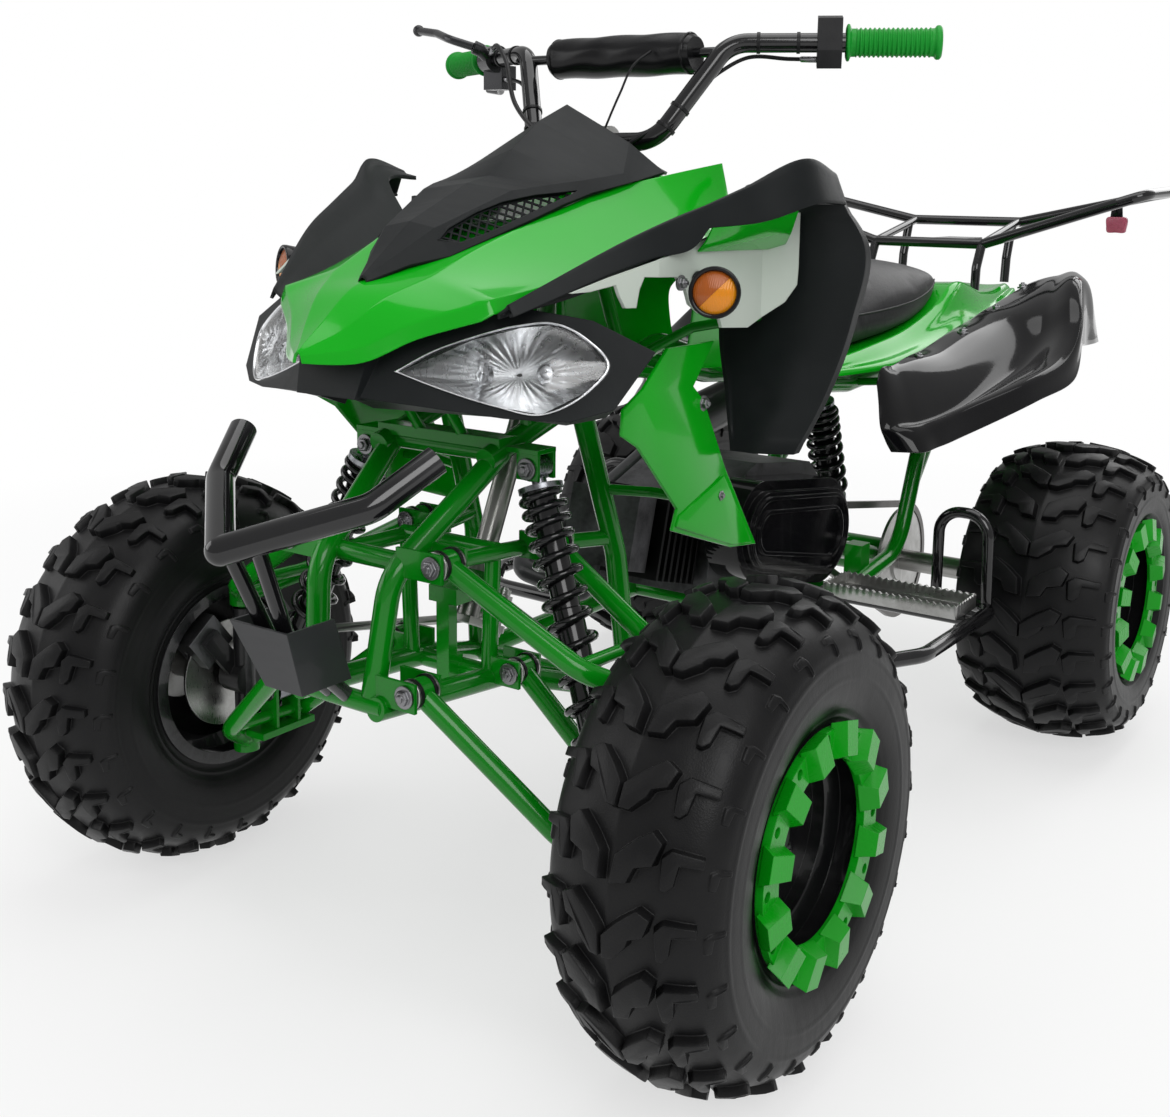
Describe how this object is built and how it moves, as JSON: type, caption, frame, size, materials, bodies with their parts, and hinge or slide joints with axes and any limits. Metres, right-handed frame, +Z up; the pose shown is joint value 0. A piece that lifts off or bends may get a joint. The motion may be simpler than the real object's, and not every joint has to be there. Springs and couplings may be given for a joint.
{
  "type": "quad bike",
  "caption": "Small quad bike with double wishbone front suspension, steered front wheels, a chain driven solid rear axle and a tube rack.",
  "frame": {"origin": "on the floor under the middle of the bike's bounding box", "axes": "-Y is the way the bike faces, +X is its left side, +Z is up"},
  "size_m": [0.987, 1.84, 1.056],
  "materials": {
    "green_paint": "gloss green powder coat",
    "green_plastic": "gloss moulded green",
    "cover_green": "moulded green with satin sheen",
    "green_rubber": "soft ribbed green grip",
    "matte_black": "fine grained black",
    "gloss_black": "gloss moulded black",
    "switch_plastic": "satin black",
    "pale_plastic": "translucent pale moulding",
    "black_tube": "gloss black powder coat",
    "satin_black_metal": "satin black heat paint",
    "black_spring": "black coated spring wire",
    "damper_steel": "plated damper",
    "chain_steel": "oiled steel",
    "engine_alloy": "cast aluminium",
    "lever_alloy": "polished cast lever",
    "caliper_alloy": "cast aluminium",
    "knuckle_steel": "black painted forging",
    "zinc_steel": "zinc plated",
    "rim_steel": "gloss black steel rim",
    "tyre_rubber": "matte black rubber",
    "seat_cover": "grained black seat cover",
    "black_foam": "black foam sleeve",
    "amber_lens": "clear amber",
    "lamp_clear": "clear lens"
  },
  "bodies": {
    "chassis": {"frame": "green_paint", "wishbones": "green_paint", "shocks": "damper_steel", "springs": "black_spring", "swingarm": "green_paint", "chain": "chain_steel", "engine": "engine_alloy", "engine_cover": "gloss_black", "exhaust": "satin_black_metal", "front_fairing": "green_plastic", "nose_surround": "matte_black", "headlamps": "lamp_clear", "dash_cowl": "matte_black", "cowl_grilles": "matte_black", "flares": "matte_black", "splash_panels": "matte_black", "side_panels": "green_plastic", "fender_liners": "pale_plastic", "signal_lamps": "amber_lens", "rear_fenders": "gloss_black", "tail_body": "green_plastic", "seat": "seat_cover", "tank_cover": "green_plastic", "front_bumper": "black_tube", "skid_plate": "satin_black_metal", "rear_rack": "black_tube", "foot_pegs": "zinc_steel", "foot_guards": "black_tube"},
    "steering": {"steering_column": "zinc_steel", "handlebar": "black_tube", "bar_pad": "black_foam", "grips": "green_rubber", "switch_block": "switch_plastic", "brake_lever": "lever_alloy"},
    "left_tie_rod": {"tie_rod_left": "zinc_steel"},
    "right_tie_rod": {"tie_rod_right": "zinc_steel"},
    "left_knuckle": {"knuckle_left": "knuckle_steel", "front_caliper_left": "caliper_alloy"},
    "right_knuckle": {"knuckle_right": "knuckle_steel", "front_caliper_right": "caliper_alloy"},
    "left_front_wheel": {"front_tyre_left": "tyre_rubber", "front_rim_left": "rim_steel", "front_rim_cover_left": "cover_green", "front_hub_left": "zinc_steel"},
    "right_front_wheel": {"front_tyre_right": "tyre_rubber", "front_rim_right": "rim_steel", "front_rim_cover_right": "cover_green", "front_hub_right": "zinc_steel"},
    "rear_axle_set": {"rear_axle": "zinc_steel", "rear_tyres": "tyre_rubber", "rear_rims": "rim_steel", "rear_rim_covers": "cover_green"}
  },
  "joints": [
    {"name": "steering_turn", "type": "hinge", "parent": "chassis", "child": "steering", "pos_m": [0, -0.305, 0.905], "axis": [0, 0.4164, 0.9092], "range_deg": [-32, 32]},
    {"name": "left_tie_rod_swing", "type": "hinge", "parent": "steering", "child": "left_tie_rod", "pos_m": [0, -0.49292, 0.36256], "axis": [0, 0.4164, 0.9092], "range_deg": [-32, 32]},
    {"name": "right_tie_rod_swing", "type": "hinge", "parent": "steering", "child": "right_tie_rod", "pos_m": [0, -0.50041, 0.34619], "axis": [0, 0.4164, 0.9092], "range_deg": [-32, 32]},
    {"name": "left_kingpin", "type": "hinge", "parent": "chassis", "child": "left_knuckle", "pos_m": [0.3, -0.62, 0.2413], "axis": [0, 0, 1], "range_deg": [-32, 32]},
    {"name": "right_kingpin", "type": "hinge", "parent": "chassis", "child": "right_knuckle", "pos_m": [-0.3, -0.62, 0.2413], "axis": [0, 0, 1], "range_deg": [-32, 32]},
    {"name": "left_front_wheel_spin", "type": "hinge", "parent": "left_knuckle", "child": "left_front_wheel", "pos_m": [0.3965, -0.62, 0.2413], "axis": [1, 0, 0], "continuous": true},
    {"name": "right_front_wheel_spin", "type": "hinge", "parent": "right_knuckle", "child": "right_front_wheel", "pos_m": [-0.3965, -0.62, 0.2413], "axis": [1, 0, 0], "continuous": true},
    {"name": "rear_axle_spin", "type": "hinge", "parent": "chassis", "child": "rear_axle_set", "pos_m": [0, 0.45, 0.2286], "axis": [1, 0, 0], "continuous": true}
  ],
  "couplings": [
    {"joint": "left_tie_rod_swing", "follows": "steering_turn", "ratio": -1},
    {"joint": "right_tie_rod_swing", "follows": "steering_turn", "ratio": -1},
    {"joint": "left_kingpin", "follows": "steering_turn", "ratio": 1},
    {"joint": "right_kingpin", "follows": "steering_turn", "ratio": 1}
  ]
}
